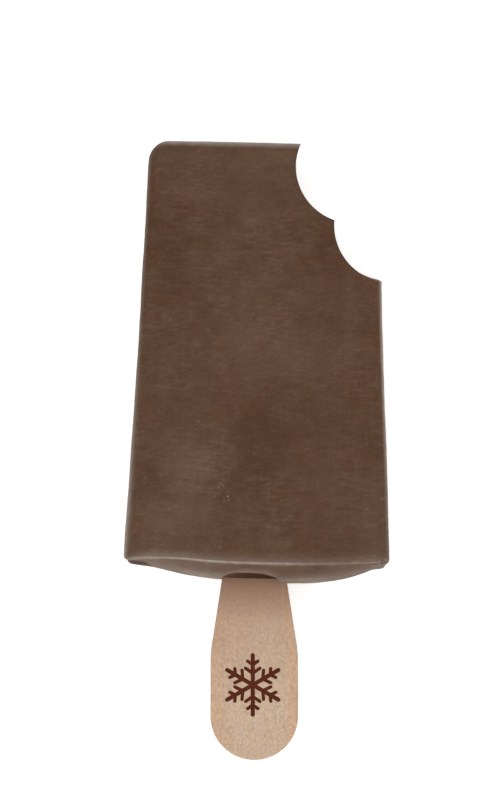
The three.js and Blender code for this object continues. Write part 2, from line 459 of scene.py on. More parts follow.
def rim_relief(points, on_base):
    """How far the points of the base face move out along -Y: a raised lip, and a dimple at its left."""
    x, _, z = points.T
    depth = np.minimum(half_width(0) - np.abs(x), half_thickness(0) - np.abs(z))
    ragged = 1 + LIP_RAGGED_SHARE * fractal(points, LIP_RAGGED_SIZE, shift=21.0)
    lip = LIP_HEIGHT * ragged * np.exp(-((depth / LIP_WIDTH) ** 2))
    dimple = DIMPLE_DEPTH * bell(x, DIMPLE_CENTRE[0], DIMPLE_REACH[0])
    dimple *= bell(z, DIMPLE_CENTRE[1], DIMPLE_REACH[1]) * smooth_step(*DIMPLE_FADE, depth)
    return np.where(on_base, lip - dimple, 0)


def moulded_mesh():
    """The whole bar before anything is cut from it, with its skin's relief."""
    lattice, quads = box_lattice(BAR_STEPS)
    points, on_base = bar_points(lattice)
    mesh = new_mesh("moulded", points, quads)
    moved = points + mesh_normals(mesh) * skin_relief(points, on_base)[:, None]
    moved[:, 1] -= rim_relief(points, on_base)
    set_mesh_points(mesh, moved)
    return mesh


# Bites: walls hollowed between the faces, with tooth grooves, torn grain and a soft outer edge
BITE_EDGE = 0.22
GRAIN_HEIGHT = 0.10
GRAIN_SIZE = 1.0
TEAR_HEIGHT = 0.22
TEAR_SIZE = 4.2
TEAR_START = 1.6
BITE_CALM = 5.0
BITE_OVERSHOOT = 1.25
BITE_LEVEL_CROWDING = 0.8


def bite_levels(count):
    """Levels through the bar from beyond its back to beyond its front, crowded at both faces."""
    t = np.linspace(-1, 1, count)
    within = np.sin(t * math.pi / 2)
    return np.concatenate([[-BITE_OVERSHOOT], lerp(t, within, BITE_LEVEL_CROWDING), [BITE_OVERSHOOT]])


def bite_cutter(centre):
    """A leaning tube whose wall is the bite's, calm and plain where the bite meets the outline."""
    around, through = BITE_STEPS
    angles = np.linspace(0, 2 * math.pi, around, endpoint=False)
    angle, level = np.meshgrid(angles, bite_levels(through))
    x = centre[0] + BITE_RADIUS * np.cos(angle)
    y = centre[1] + BITE_RADIUS * np.sin(angle)
    z = level * half_thickness(y)
    y = y + BITE_LEAN * (TIP_THICKNESS / 2 - z)
    wall = np.stack([x, y, z], -1).reshape(-1, 3)
    hollow = np.maximum(1 - level ** 2, 0)
    below = (1 - np.abs(level)) * half_thickness(y)
    clear = smooth_step(0, BITE_CALM, np.minimum(BAR_LENGTH - y, half_width(y) - x))
    grow = clear * hollow * (BITE_SCOOP + BITE_RIPPLE * np.sin(BITE_RIPPLES_ROUND * angle))
    torn = GRAIN_HEIGHT * fractal(wall, GRAIN_SIZE) + TEAR_HEIGHT * fractal(wall, TEAR_SIZE, shift=5.0)
    grow = grow + clear * torn.reshape(angle.shape) * smooth_step(0, TEAR_START, below)
    into = np.clip(1 - below / BITE_EDGE, 0, 1)
    grow = grow + BITE_EDGE * (1 - np.sqrt(1 - into ** 2))
    x = x + grow * np.cos(angle)
    y = y + grow * np.sin(angle)
    return tube(np.stack([x, y, z], -1), "bite")


# Pocket over the stick, and the slot that the stick is frozen into
POCKET_ARCH_STEPS = 80
POCKET_LEVELS = 30
SLOT_GAP = 0.04
SLOT_STEPS = (12, 90, 2)


def pocket_cutter():
    """An arch over the stick, seen from the base. Its wall leans in above the stick's front face."""
    turns = np.linspace(0, math.pi, POCKET_ARCH_STEPS)
    round_off = 2 / POCKET_ROUNDNESS
    across = POCKET_HALF_WIDTH * np.sign(np.cos(turns)) * np.abs(np.cos(turns)) ** round_off
    above = POCKET_HEIGHT * np.sin(turns) ** round_off
    level, x = np.meshgrid(np.linspace(0, 1, POCKET_LEVELS), across, indexing="ij")
    z = np.broadcast_to(above, x.shape)
    wall = -POCKET_FOOT + POCKET_LEAN * (z - STICK_THICKNESS / 2)
    y = lerp(wall, -POCKET_REACH, level)
    rings = np.stack([x + STICK_OFFSET + POCKET_OFFSET, y, z], -1)
    return tube(rings, "pocket")


def slot_cutter():
    """The stick's own outline with a hair's gap round it, through the bar's base."""
    points, quads = stick_lattice(SLOT_STEPS, SLOT_GAP)
    return new_mesh("slot", points, quads)


# Stick: how finely it is divided, and how far its points crowd towards the edges
STICK_STEPS = (30, 150, 8)
STICK_CROWDING = 0.75
STICK_ALONG_CROWDING = 0.25
SHOULDER_POINTS = 13


def shoulder_line():
    """Points along the side from the grip's width to the neck's: how far along, and half width."""
    grip, shoulder = GRIP_WIDTH / 2, SHOULDER_END_WIDTH / 2
    middle = (SHOULDER_START + SHOULDER_END) / 2
    t = np.linspace(0, 1, SHOULDER_POINTS)
    wide = (1 - t * t) * grip + t * t * shoulder
    along = (1 - t) ** 2 * SHOULDER_START + 2 * t * (1 - t) * middle + t * t * SHOULDER_END
    return np.append(along, NECK_START), np.append(wide, NECK_WIDTH / 2)


def stick_lattice(steps, grow=0.0):
    """Points and quads of the stick in the bar's frame, wider all round by grow."""
    lattice, quads = box_lattice(steps)
    crowd = np.array([STICK_CROWDING, STICK_ALONG_CROWDING, STICK_CROWDING])
    crowded = lerp(lattice, np.sin(lattice * math.pi / 2), crowd)
    width, length = GRIP_WIDTH / 2 + grow, STICK_LENGTH / 2 + grow
    thickness = STICK_THICKNESS / 2 + grow
    x, y, z = (crowded * (width, length, thickness)).T
    even_x, even_y, even_z = round_box(x, y, z, (width, length, thickness), STICK_EDGE, width)
    along = even_y + STICK_LENGTH / 2 - STICK_REACH
    half = np.interp(along, *shoulder_line()) + grow
    flat = np.stack([even_x * half / width, along, even_z], 1)
    turn = np.array(Matrix.Rotation(STICK_TURN, 3, "Z"))
    return flat @ turn.T + (STICK_OFFSET, 0, 0), quads


# Mark burnt into the grip: a plain six-armed snow crystal. Places are in the stick's own frame.
MARK_CENTRE = (-0.3, -24.2)
MARK_ARMS = 6
MARK_FIRST_ARM_DEGREES = 30
MARK_ARM = 5.9
MARK_STROKE = 0.85
MARK_BRANCH_STROKE = MARK_STROKE * 0.8
MARK_BRANCHES = ((2.3, 1.75), (4.0, 1.25))
MARK_BRANCH_ANGLE = math.radians(55)
MARK_DEPTH = 0.09
MARK_CUTTER_RISE = 1
MARK_ROUND_STEPS = 10


def stroke(start, end, width):
    """The outline of a line with round ends."""
    start, end = np.array(start), np.array(end)
    way = math.atan2(*(end - start)[::-1])
    out = []
    for centre, first in ((end, way - math.pi / 2), (start, way + math.pi / 2)):
        for turn in np.linspace(first, first + math.pi, MARK_ROUND_STEPS):
            out.append(centre + width / 2 * np.array([math.cos(turn), math.sin(turn)]))
    return np.array(out)


def mark_strokes():
    """The crystal's arms, each with two pairs of branches."""
    strokes = []
    for arm in range(MARK_ARMS):
        angle = math.radians(360 / MARK_ARMS * arm + MARK_FIRST_ARM_DEGREES)
        way = np.array([math.cos(angle), math.sin(angle)])
        strokes.append(stroke((0, 0), way * MARK_ARM, MARK_STROKE))
        for along, length in MARK_BRANCHES:
            for side in (-1, 1):
                turn = angle + side * MARK_BRANCH_ANGLE
                tip = way * along + length * np.array([math.cos(turn), math.sin(turn)])
                strokes.append(stroke(way * along, tip, MARK_BRANCH_STROKE))
    return strokes


def mark_cutter():
    """The strokes as upright prisms that reach a little way into the stick's front face."""
    turn = np.array(Matrix.Rotation(STICK_TURN, 2))
    top, bottom = STICK_THICKNESS / 2 + MARK_CUTTER_RISE, STICK_THICKNESS / 2 - MARK_DEPTH
    points, faces = [], []
    for outline in mark_strokes():
        flat = (outline + MARK_CENTRE) @ turn.T + (STICK_OFFSET, 0)
        first, count = len(points), len(flat)
        points += [(x, y, bottom) for x, y in flat] + [(x, y, top) for x, y in flat]
        low = list(range(first, first + count))
        high = list(range(first + count, first + 2 * count))
        faces += [low[::-1], high]
        faces += [(low[i - 1], low[i], high[i], high[i - 1]) for i in range(count)]
    return new_mesh("mark", points, faces)


# Materials

def srgb(red, green, blue):
    """A linear colour from 0 to 255 display values."""
    values = [v / 255 for v in (red, green, blue)]
    linear = [v / 12.92 if v <= 0.04045 else ((v + 0.055) / 1.055) ** 2.4 for v in values]
    return (*linear, 1.0)


# Smooth noise mostly lies in this range
NOISE_RANGE = (0.3, 0.7)

# A dot is whole within this share of its radius. Chance grows over this step where a cell has a dot.
DOT_CORE = 0.4
CHANCE_STEP = 0.02

# The mix node's colour sockets: its share, both colours in, and the colour out
MIX_SHARE = 0
MIX_FIRST = 6
MIX_SECOND = 7
MIX_RESULT = 2


class Shader:
    """A material under construction. Lengths along the patterns are in metres."""

    def __init__(self, name):
        self.material = bpy.data.materials.new(name)
        self.material.use_nodes = True
        self.tree = self.material.node_tree
        self.surface = self.tree.nodes["Principled BSDF"]
        self.place = self.tree.nodes.new("ShaderNodeTexCoord").outputs["Object"]

    def node(self, kind, inputs, output=0, **settings):
        made = self.tree.nodes.new(kind)
        for name, value in settings.items():
            setattr(made, name, value)
        for key, value in inputs.items():
            self.put(made.inputs[key], value)
        return made.outputs[output]

    def put(self, socket, value):
        if isinstance(value, bpy.types.NodeSocket):
            self.tree.links.new(value, socket)
        else:
            socket.default_value = value

    def scaled(self, size, shift=(0, 0, 0), turn=0.0):
        """The place divided by a size along each axis, after a shift and a turn about Z."""
        scale = tuple(1 / s for s in size)
        turned = self.node("ShaderNodeMapping", {"Vector": self.place, "Rotation": (0, 0, turn)})
        return self.node("ShaderNodeMapping", {"Vector": turned, "Location": shift, "Scale": scale})

    def noise(self, size, detail=3.0, roughness=0.5, shift=(0, 0, 0), turn=0.0):
        where = self.scaled(size, shift, turn)
        inputs = {"Vector": where, "Scale": 1.0, "Detail": detail, "Roughness": roughness}
        return self.node("ShaderNodeTexNoise", inputs)

    def cells(self, size, radius, kept, shift=(0, 0, 0), turn=0.0):
        """Soft dots, one in a share of the cells of the given size. The radius is in cells."""
        made = self.tree.nodes.new("ShaderNodeTexVoronoi")
        self.put(made.inputs["Vector"], self.scaled(size, shift, turn))
        self.put(made.inputs["Scale"], 1.0)
        dot = self.span(made.outputs["Distance"], radius, radius * DOT_CORE)
        chance = self.node("ShaderNodeSeparateColor", {"Color": made.outputs["Color"]})
        return self.times(dot, self.span(chance, 1 - kept, 1 - kept + CHANCE_STEP))

    def span(self, value, low, high, to_low=0.0, to_high=1.0):
        """The value taken from one range to another, and kept within it."""
        inputs = {"Value": value, "From Min": low, "From Max": high, "To Min": to_low, "To Max": to_high}
        return self.node("ShaderNodeMapRange", inputs)

    def spread(self, pattern, to_low, to_high):
        """A noise pattern taken from the range that it mostly covers to another."""
        return self.span(pattern, *NOISE_RANGE, to_low, to_high)

    def maths(self, operation, first, *others):
        """The values put together two by two, from the first to the last."""
        for other in others:
            first = self.node("ShaderNodeMath", {0: first, 1: other}, operation=operation)
        return first

    def times(self, first, second):
        return self.maths("MULTIPLY", first, second)

    def mix(self, share, first, second, **settings):
        inputs = {MIX_SHARE: share, MIX_FIRST: first, MIX_SECOND: second}
        return self.node("ShaderNodeMix", inputs, output=MIX_RESULT, data_type="RGBA", **settings)

    def shade(self, colour, amount):
        """The colour made lighter or darker by a factor that varies over the surface."""
        grey = self.node("ShaderNodeCombineColor", {"Red": amount, "Green": amount, "Blue": amount})
        return self.mix(1.0, colour, grey, blend_type="MULTIPLY")

    def attribute(self, name):
        made = self.tree.nodes.new("ShaderNodeAttribute")
        made.attribute_name = name
        return made.outputs["Fac"]

    def bump(self, height, distance):
        return self.node("ShaderNodeBump", {"Height": height, "Distance": distance, "Strength": 1.0})

    def finish(self, colour, roughness, normal, **constants):
        """Sets the surface. The constants are named as its sockets are, with _ for each space."""
        self.put(self.surface.inputs["Base Color"], colour)
        self.put(self.surface.inputs["Roughness"], roughness)
        self.put(self.surface.inputs["Normal"], normal)
        for name, value in constants.items():
            self.surface.inputs[name.replace("_", " ")].default_value = value
        return self.material


# Chocolate ice: its colours, and the middle of the cluster of pits
WARM_BROWN = srgb(79.5, 48.5, 26.5)
COOL_BROWN = srgb(74.5, 49.5, 30)
HAZE = srgb(130, 109, 94)
FROST_AND_HIGHLIGHT = srgb(190, 176, 164)
BITTEN = srgb(104, 76, 58)
CRUMB = srgb(140, 112, 90)
# The pocket's wet walls, darkened further with painted shade
WET_AND_SHADE = srgb(56, 23, 17)
PIT_CLUSTER = (-0.0063, -0.0093, 0.0220)

# Bloom: clouds, and rubbed strokes with their size, place in the noise, turn, start and strength
CLOUD_SIZE = (0.014, 0.014, 0.014)
CLOUD_HAZE = (-0.04, 0.22)
STROKES = (
    ((0.0042, 0.0007, 0.003), (9, 0, 0), 0.12, 0.46, 0.20),
    ((0.0030, 0.0008, 0.003), (2, 6, 0), -0.35, 0.48, 0.16),
    ((0.0009, 0.0045, 0.003), (4, 1, 7), 0.0, 0.48, 0.09),
)
STROKE_END = 0.75
RUBBED_SIZE = (0.009, 0.012, 0.009)
RUBBED_RANGE = (0.35, 0.65)
RUBBED_SHARE = (0.3, 1.0)

# Specks and other dots: cell size, radius in cells, share of cells that have one and place in the
# noise. Specks have a turn and a strength as well.
SPECKS = (
    ((0.0013, 0.0011, 0.0013), 0.24, 0.35, (0, 0, 0), 0.0, 0.05),
    ((0.0031, 0.0025, 0.0031), 0.13, 0.30, (1, 7, 2), 0.0, 0.07),
    ((0.0050, 0.0011, 0.0050), 0.16, 0.25, (5, 2, 8), -0.2, 0.06),
)
CLUSTER_DOTS = ((0.0009, 0.0009, 0.0009), 0.34, 0.45, (3, 8, 2))
CLUSTER_FADE = (0.0026, 0.0012)
CLUSTER_STRENGTH = 0.25

# Patterns of the skin, the frost and the bitten walls
HUE_SIZE = (0.006, 0.006, 0.006)
HUE_RANGE = (0.36, 0.64)
GRIT_SIZE = (0.0007, 0.0005, 0.0007)
GRIT_SHADE = (0.89, 1.11)
PATCH_SIZE = (0.0016, 0.0012, 0.0016)
PATCH_SHADE = (0.75, 1.2)
TORN_SIZE = (0.0011, 0.0011, 0.0013)
TORN_RANGE = (0.42, 0.68)
TORN_DOTS = ((0.0019, 0.0019, 0.0019), 0.22, 0.3, (7, 1, 1))
BITTEN_COVER = 0.85
WET_AND_SHADE_COVER = 0.95

# Roughness of the plain and the hazy skin, what frost, the open face and wetness change, and relief
SKIN_ROUGHNESS = (0.5, 0.68)
FULL_HAZE = 0.4
FROST_ROUGHNESS = 0.2
OPEN_ROUGHNESS = 0.2
WET_SMOOTHNESS = 0.2
HAZE_RELIEF = 0.9
GRIT_RELIEF = 0.35
TORN_RELIEF = 2.0
SKIN_BUMP = 0.00012


def haze_share(s):
    """Pale bloom on the skin: clouds of every size and fine rubbed strokes, most of them level."""
    cloud = s.noise(CLOUD_SIZE, detail=6, roughness=0.88)
    strokes = []
    for size, shift, turn, start, strength in STROKES:
        pattern = s.noise(size, detail=3, roughness=0.7, shift=shift, turn=turn)
        strokes.append(s.span(pattern, start, STROKE_END, 0, strength))
    rubbed = s.span(s.noise(RUBBED_SIZE, shift=(3, 3, 1)), *RUBBED_RANGE, *RUBBED_SHARE)
    strokes = s.times(s.maths("ADD", *strokes), rubbed)
    return s.maths("ADD", s.spread(cloud, *CLOUD_HAZE), strokes, s.attribute("smudge"))


def speck_share(s):
    """Specks and short hairs strewn over the skin, and pale crystals in the cluster of pits."""
    marks = [s.times(s.cells(size, radius, kept, shift, turn), strength)
             for size, radius, kept, shift, turn, strength in SPECKS]
    away = s.node("ShaderNodeVectorMath", {0: s.place, 1: PIT_CLUSTER}, output=1, operation="DISTANCE")
    near = s.span(away, *CLUSTER_FADE, 0.0, CLUSTER_STRENGTH)
    marks.append(s.times(s.cells(*CLUSTER_DOTS), near))
    return s.maths("MAXIMUM", *marks)


def frost_and_light_share(s):
    """The painted frost and painted highlights, made patchy."""
    patches = s.noise(PATCH_SIZE, detail=4, shift=(1, 2, 3))
    inputs = {0: s.attribute("frost_and_light"), 1: s.spread(patches, *PATCH_SHADE)}
    return s.node("ShaderNodeMath", inputs, operation="MULTIPLY", use_clamp=True)


def torn_colour(s, crystals):
    """The ice inside the bites: paler where its crystals are coarse, with frosted dots."""
    colour = s.mix(s.span(crystals, *TORN_RANGE), BITTEN, CRUMB)
    return s.mix(s.cells(*TORN_DOTS), colour, FROST_AND_HIGHLIGHT)


def ice_material():
    s = Shader("chocolate_ice")
    hue = s.noise(HUE_SIZE, detail=3, roughness=0.6, shift=(2, 9, 4))
    grit = s.noise(GRIT_SIZE, detail=3, roughness=0.8)
    crystals = s.noise(TORN_SIZE, detail=5, roughness=0.75, shift=(4, 4, 4))
    haze, marks, frost_and_light = haze_share(s), speck_share(s), frost_and_light_share(s)
    bitten, wet_and_shade, open_face = (s.attribute(name) for name in ("bitten", "wet_and_shade", "open"))
    colour = s.mix(s.span(hue, *HUE_RANGE), WARM_BROWN, COOL_BROWN)
    colour = s.shade(colour, s.spread(grit, *GRIT_SHADE))
    # The frost share carries painted highlights and painted sheen as well as frost
    for share, cover in ((haze, HAZE), (marks, FROST_AND_HIGHLIGHT), (frost_and_light, FROST_AND_HIGHLIGHT)):
        colour = s.mix(share, colour, cover)
    colour = s.mix(s.times(bitten, BITTEN_COVER), colour, torn_colour(s, crystals))
    # Wet pocket walls, darkened further with painted shade, and the painted shade in the base face's left
    # corner
    colour = s.mix(s.times(wet_and_shade, WET_AND_SHADE_COVER), colour, WET_AND_SHADE)
    frosted = s.span(frost_and_light, 0, 1, 0, FROST_ROUGHNESS)
    opened = s.times(open_face, OPEN_ROUGHNESS)
    roughness = s.maths("ADD", s.span(haze, 0, FULL_HAZE, *SKIN_ROUGHNESS), frosted, opened)
    roughness = s.maths("SUBTRACT", roughness, s.times(wet_and_shade, WET_SMOOTHNESS))
    torn = s.times(crystals, s.times(bitten, TORN_RELIEF))
    relief = s.maths("ADD", s.times(haze, HAZE_RELIEF), s.times(grit, GRIT_RELIEF), torn)
    normal = s.bump(s.maths("SUBTRACT", relief, marks), SKIN_BUMP)
    return s.finish(colour, roughness, normal, IOR=1.31, Specular_IOR_Level=0.35)


# Birch: its colours, and the burnt mark's
WOOD = srgb(198, 171, 147)
WOOD_PINK = srgb(190, 156, 132)
WOOD_STRAW = srgb(199, 170, 139)
WOOD_AMBER = srgb(204, 162, 122)
WOOD_FLECK = srgb(150, 118, 94)
# The stain is partly painted shade from the bar above it
STAIN_AND_SHADE = srgb(132, 93, 69)
DARKER_WOOD = srgb(170, 135, 110)
BURNT = srgb(78, 30, 16)
BURNT_LIGHT = srgb(104, 50, 30)

# Where along the stick, in metres, the stain beside the bar, which is partly painted shade from the bar
# above it, and the darker wood further out fade away
STAIN_START = -0.0262
STAIN_END = -0.0345
STAIN_COVER = 0.75
STAIN_RAGGED = 0.0006
DARKER_START = -0.030
DARKER_END = -0.050
DARKER_COVER = 0.5

# Patterns of the wood and how much each one shades or covers it. Pores and rays are dots.
BAND_SIZE = (0.0022, 0.05, 0.0022)
BAND_SHADE = (0.95, 1.04)
FIBRE_SIZE = (0.00028, 0.006, 0.00028)
FIBRE_SHADE = (-0.05, 0.04)
FLAKE_SIZE = (0.0005, 0.0007, 0.0005)
FLAKE_SHADE = (-0.22, 0.22)
BLUSH_SIZE = (0.01, 0.02, 0.01)
BLUSH_RANGE = (0.4, 0.65)
CAST_SIZE = (0.0024, 0.0032, 0.0024)
CAST_RANGE = (0.42, 0.6)
STRAW_COVER = 0.6
AMBER_COVER = 0.42
PORES = ((0.00062, 0.0034, 0.00062), 0.30, 0.16, (1, 4, 2))
RAYS = ((0.0009, 0.0013, 0.0009), 0.24, 0.3, (6, 1, 3))
FLECK_COVER = 0.35
PORE_RELIEF = 0.6
WOOD_ROUGHNESS = (0.55, 0.68)
WOOD_BUMP = 0.00006

# Patterns of the burnt mark
BURNT_FIBRE_SIZE = (0.0003, 0.0016, 0.0003)
BURNT_RANGE = (0.42, 0.75)
BURNT_ROUGHNESS = (0.7, 0.9)
BURNT_BUMP = 0.00008


def wood_tint(s):
    """Birch that is pinker or more like straw in places, and amber inside its long edges."""
    blush = s.noise(BLUSH_SIZE, detail=2, shift=(8, 3, 5))
    cast = s.noise(CAST_SIZE, detail=3, roughness=0.6, shift=(5, 9, 2))
    colour = s.mix(s.span(blush, *BLUSH_RANGE), WOOD, WOOD_PINK)
    colour = s.mix(s.span(cast, *CAST_RANGE, 0, STRAW_COVER), colour, WOOD_STRAW)
    return s.mix(s.times(s.attribute("edge"), AMBER_COVER), colour, WOOD_AMBER)


def wood_material():
    s = Shader("birch_wood")
    bands = s.noise(BAND_SIZE, detail=4, roughness=0.6)
    fibre = s.noise(FIBRE_SIZE, detail=3, roughness=0.65, shift=(2, 5, 1))
    flakes = s.noise(FLAKE_SIZE, detail=3, roughness=0.8, shift=(3, 3, 3))
    shades = ((bands, BAND_SHADE), (fibre, FIBRE_SHADE), (flakes, FLAKE_SHADE))
    tone = s.maths("ADD", *(s.spread(pattern, *shade) for pattern, shade in shades))
    colour = s.shade(wood_tint(s), tone)
    pores = s.cells(*PORES)
    flecks = s.maths("MAXIMUM", pores, s.cells(*RAYS))
    colour = s.mix(s.times(flecks, FLECK_COVER), colour, WOOD_FLECK)
    along = s.node("ShaderNodeSeparateXYZ", {"Vector": s.place}, output=1)
    # Darker towards the bar, and darker still in the stain beside it, which is partly painted shade
    colour = s.mix(s.span(along, DARKER_END, DARKER_START, 0, DARKER_COVER), colour, DARKER_WOOD)
    ragged = s.maths("ADD", along, s.spread(fibre, -STAIN_RAGGED, STAIN_RAGGED))
    colour = s.mix(s.span(ragged, STAIN_END, STAIN_START, 0, STAIN_COVER), colour, STAIN_AND_SHADE)
    relief = s.maths("SUBTRACT", fibre, s.times(pores, PORE_RELIEF))
    return s.finish(colour, s.spread(bands, *WOOD_ROUGHNESS), s.bump(relief, WOOD_BUMP), IOR=1.42)


def burnt_material():
    s = Shader("burnt_wood")
    fibre = s.noise(BURNT_FIBRE_SIZE, detail=4, roughness=0.7)
    colour = s.mix(s.span(fibre, *BURNT_RANGE), BURNT, BURNT_LIGHT)
    roughness = s.spread(fibre, *BURNT_ROUGHNESS)
    return s.finish(colour, roughness, s.bump(fibre, BURNT_BUMP), IOR=1.4, Specular_IOR_Level=0.2)


# The floor glows a little, so that it is white round the bar as paper in a light box is
FLOOR_LOOK = {
    "Base Color": (0.6, 0.6, 0.6, 1),
    "Roughness": 0.9,
    "Specular IOR Level": 0.1,
    "Emission Color": (1, 1, 1, 1),
    "Emission Strength": 0.68,
}


def floor_material():
    s = Shader("plain_floor")
    for name, value in FLOOR_LOOK.items():
        s.surface.inputs[name].default_value = value
    return s.material


# Pieces

# Frost and painted light, with all places in mm in the bar's own frame. A pair is where a change starts and
# where it ends, or else a strength at its start and one at its end.

# The rim's bright line, frost with a painted highlight: along its length, away from the rim, and its wider
# and weaker far left end
LINE_STRENGTH = (0.76, 0.42)
LINE_WEAKENING = (4, 14)
LINE_UP_END = (0.6, 1.2)
LINE_FACES = (6, 9)
LINE_PLACE = 0.08
LINE_WIDTH = 0.19
LINE_DEPTH = 0.3
FAR_LEFT = (-18, -22)
FAR_LEFT_STRENGTH = 0.7
FAR_LEFT_WIDENING = 2

# The pale long edges and the tip's edge, frost with a painted highlight, stronger low on the left with
# two bands of painted light inside the edge. A band is its strength and where it starts and ends.
LEFT_EDGE_STRENGTH = 0.12
RIGHT_EDGE_STRENGTH = (0.15, 0.55)
RIGHT_EDGE_GROWTH = (5, 35)
EDGE_WIDTH = 0.85
LOW_LEFT_ACROSS = (-10, -20)
LOW_LEFT_ALONG = (10, 50)
LOW_LEFT_LIGHT = ((0.2, 0, 1), (0.12, 0.4, 1.8))
TIP_EDGE_STRENGTH = 0.52
TIP_EDGE_WIDTH = 1.8
BEHIND_FACE = (2.0, 5.0)
BEHIND_FACE_LOSS = 0.85

# The halo beside the rim, stronger at the left but not in its corner
HALO_STRENGTH = (0.18, 0.24)
HALO_GROWTH = (-5, -15)
HALO_CORNER = (-21, -25)
HALO_CORNER_LOSS = 0.6
HALO_WIDTH = 1.4

# The bloom on the base face: over all of it, at both sides and in its left corner, with a painted sheen
# along its middle
BLOOM_LEAST = 0.05
MIDDLE_SHEEN = 0.3
MIDDLE_SHEEN_THROUGH = (10, 4)
MIDDLE_SHEEN_ACROSS = (9, 18)
MIDDLE_SHEEN_ACROSS_LOSS = 0.75
BLOOM_LEFT = 0.08
BLOOM_LEFT_GROWTH = (2, -16)
BLOOM_RIGHT = 0.045
BLOOM_RIGHT_GROWTH = (8, 18)
BLOOM_CORNER = (-24, -20)
CORNER_FROST = 0.36
CORNER_FROST_ACROSS = (-20.5, -24)
CORNER_FROST_FRONT = (3, 8)

# The painted highlight on the lip round the pocket's arch, which is at 1
ARCH_HIGHLIGHT = 0.25
ARCH_FADE = (1.9, 1.0)

# The painted shade in the corner at the left of the base face, under the rim, and how much rougher it is
DARK_STRENGTH = 0.75
DARK_ACROSS = (-20.5, -22.5)
DARK_FRONT = (4, 0)
DARK_BACK = (-11, -7)
DARK_ROUGHNESS = 2

# Points deeper under the skin than this are on cut faces. Points deeper under the base face than the
# second depth aren't on it.
CUT_DEPTH = (0.25, 0.6)
OPEN_DEPTH = (0.15, 0.45)

# Cut faces below these heights are the pocket's wet walls, darkened further with painted shade, and above
# these they are bitten
WET_AND_SHADE_UP_END = (6, 10)
BITTEN_FROM = (45, 50)

# Crystals in the chipped corner
CRYSTAL_STRENGTH = 0.4
CRYSTAL_SIZE = 0.8
CRYSTAL_RANGE = (0.1, 0.5)

# Paler and darker smudges on the front: across, up from the base, half width, half height, strength
SMUDGES = (
    (-14.7, 16.7, 6.0, 10.0, 0.14),
    (-18.7, 7.0, 8.0, 4.0, 0.12),
    (0.3, 43.0, 9.0, 8.0, 0.10),
    (17.8, 46.0, 1.6, 9.0, 0.12),
    (12.3, 17.0, 4.0, 9.0, 0.07),
    (22.3, 9.0, 4.0, 6.0, 0.06),
    (-5.0, 82.0, 22.0, 3.5, 0.09),
    (2.3, 24.8, 8.0, 7.0, -0.06),
    (2.3, 15.7, 6.0, 4.0, -0.05),
    (-21.7, 16.7, 3.0, 4.0, -0.12),
    (-18.7, 61.0, 5.0, 8.0, -0.07),
    (12.3, 63.0, 5.0, 5.0, -0.06),
)


def inside_long_edge(points):
    """How far each point lies inside the long edge on its own side."""
    x, y, _ = points.T
    return half_width(y) - np.abs(x - side_stray(x, y))


def rim_highlight_line(points, sides):
    """The bright line along the rim of both faces, strongest at the left: frost with a painted highlight.
    """
    x, y, z = points.T
    rim = rim_shift(x, z, np.zeros(len(x)))
    above_rim = round_depth(inside_long_edge(points), y + rim, BASE_CORNER_RADIUS)
    strength = lerp(*LINE_STRENGTH, smooth_step(*LINE_WEAKENING, x)) * (1 - smooth_step(*LINE_UP_END, y))
    strength *= smooth_step(*LINE_FACES, np.abs(z))
    far_left = smooth_step(*FAR_LEFT, x)
    strength *= lerp(1, FAR_LEFT_STRENGTH, far_left)
    wide = LINE_WIDTH * lerp(1, FAR_LEFT_WIDENING, far_left)
    return strength * bell(above_rim, LINE_PLACE, wide) * bell(np.maximum(sides, 0), 0, LINE_DEPTH)


def edge_frost_and_highlight(points):
    """Pale frost with a painted highlight on the faces beside the long edges and the tip's edge, with
    painted light low on the left.
    """
    x, y, z = points.T
    aside = inside_long_edge(points)
    right = lerp(*RIGHT_EDGE_STRENGTH, smooth_step(*RIGHT_EDGE_GROWTH, y))
    long_edges = np.where(x > 0, right, LEFT_EDGE_STRENGTH) * (1 - smooth_step(0, EDGE_WIDTH, aside))
    low_left = smooth_step(*LOW_LEFT_ACROSS, x) * (1 - smooth_step(*LOW_LEFT_ALONG, y))
    for strength, start, end in LOW_LEFT_LIGHT:
        long_edges += low_left * (strength - strength * smooth_step(start, end, aside))
    tip_edge = TIP_EDGE_STRENGTH * (1 - smooth_step(0, TIP_EDGE_WIDTH, BAR_LENGTH - y))
    behind_face = smooth_step(*BEHIND_FACE, half_thickness(y) - np.abs(z))
    return (1 - BEHIND_FACE_LOSS * behind_face) * np.maximum(long_edges, tip_edge)


def halo_frost(x, base):
    """The faint halo beside the rim, by the depth under the base face."""
    strength = lerp(*HALO_STRENGTH, smooth_step(*HALO_GROWTH, x))
    strength *= 1 - HALO_CORNER_LOSS * smooth_step(*HALO_CORNER, x)
    return strength * bell(np.maximum(base, 0), 0, HALO_WIDTH)


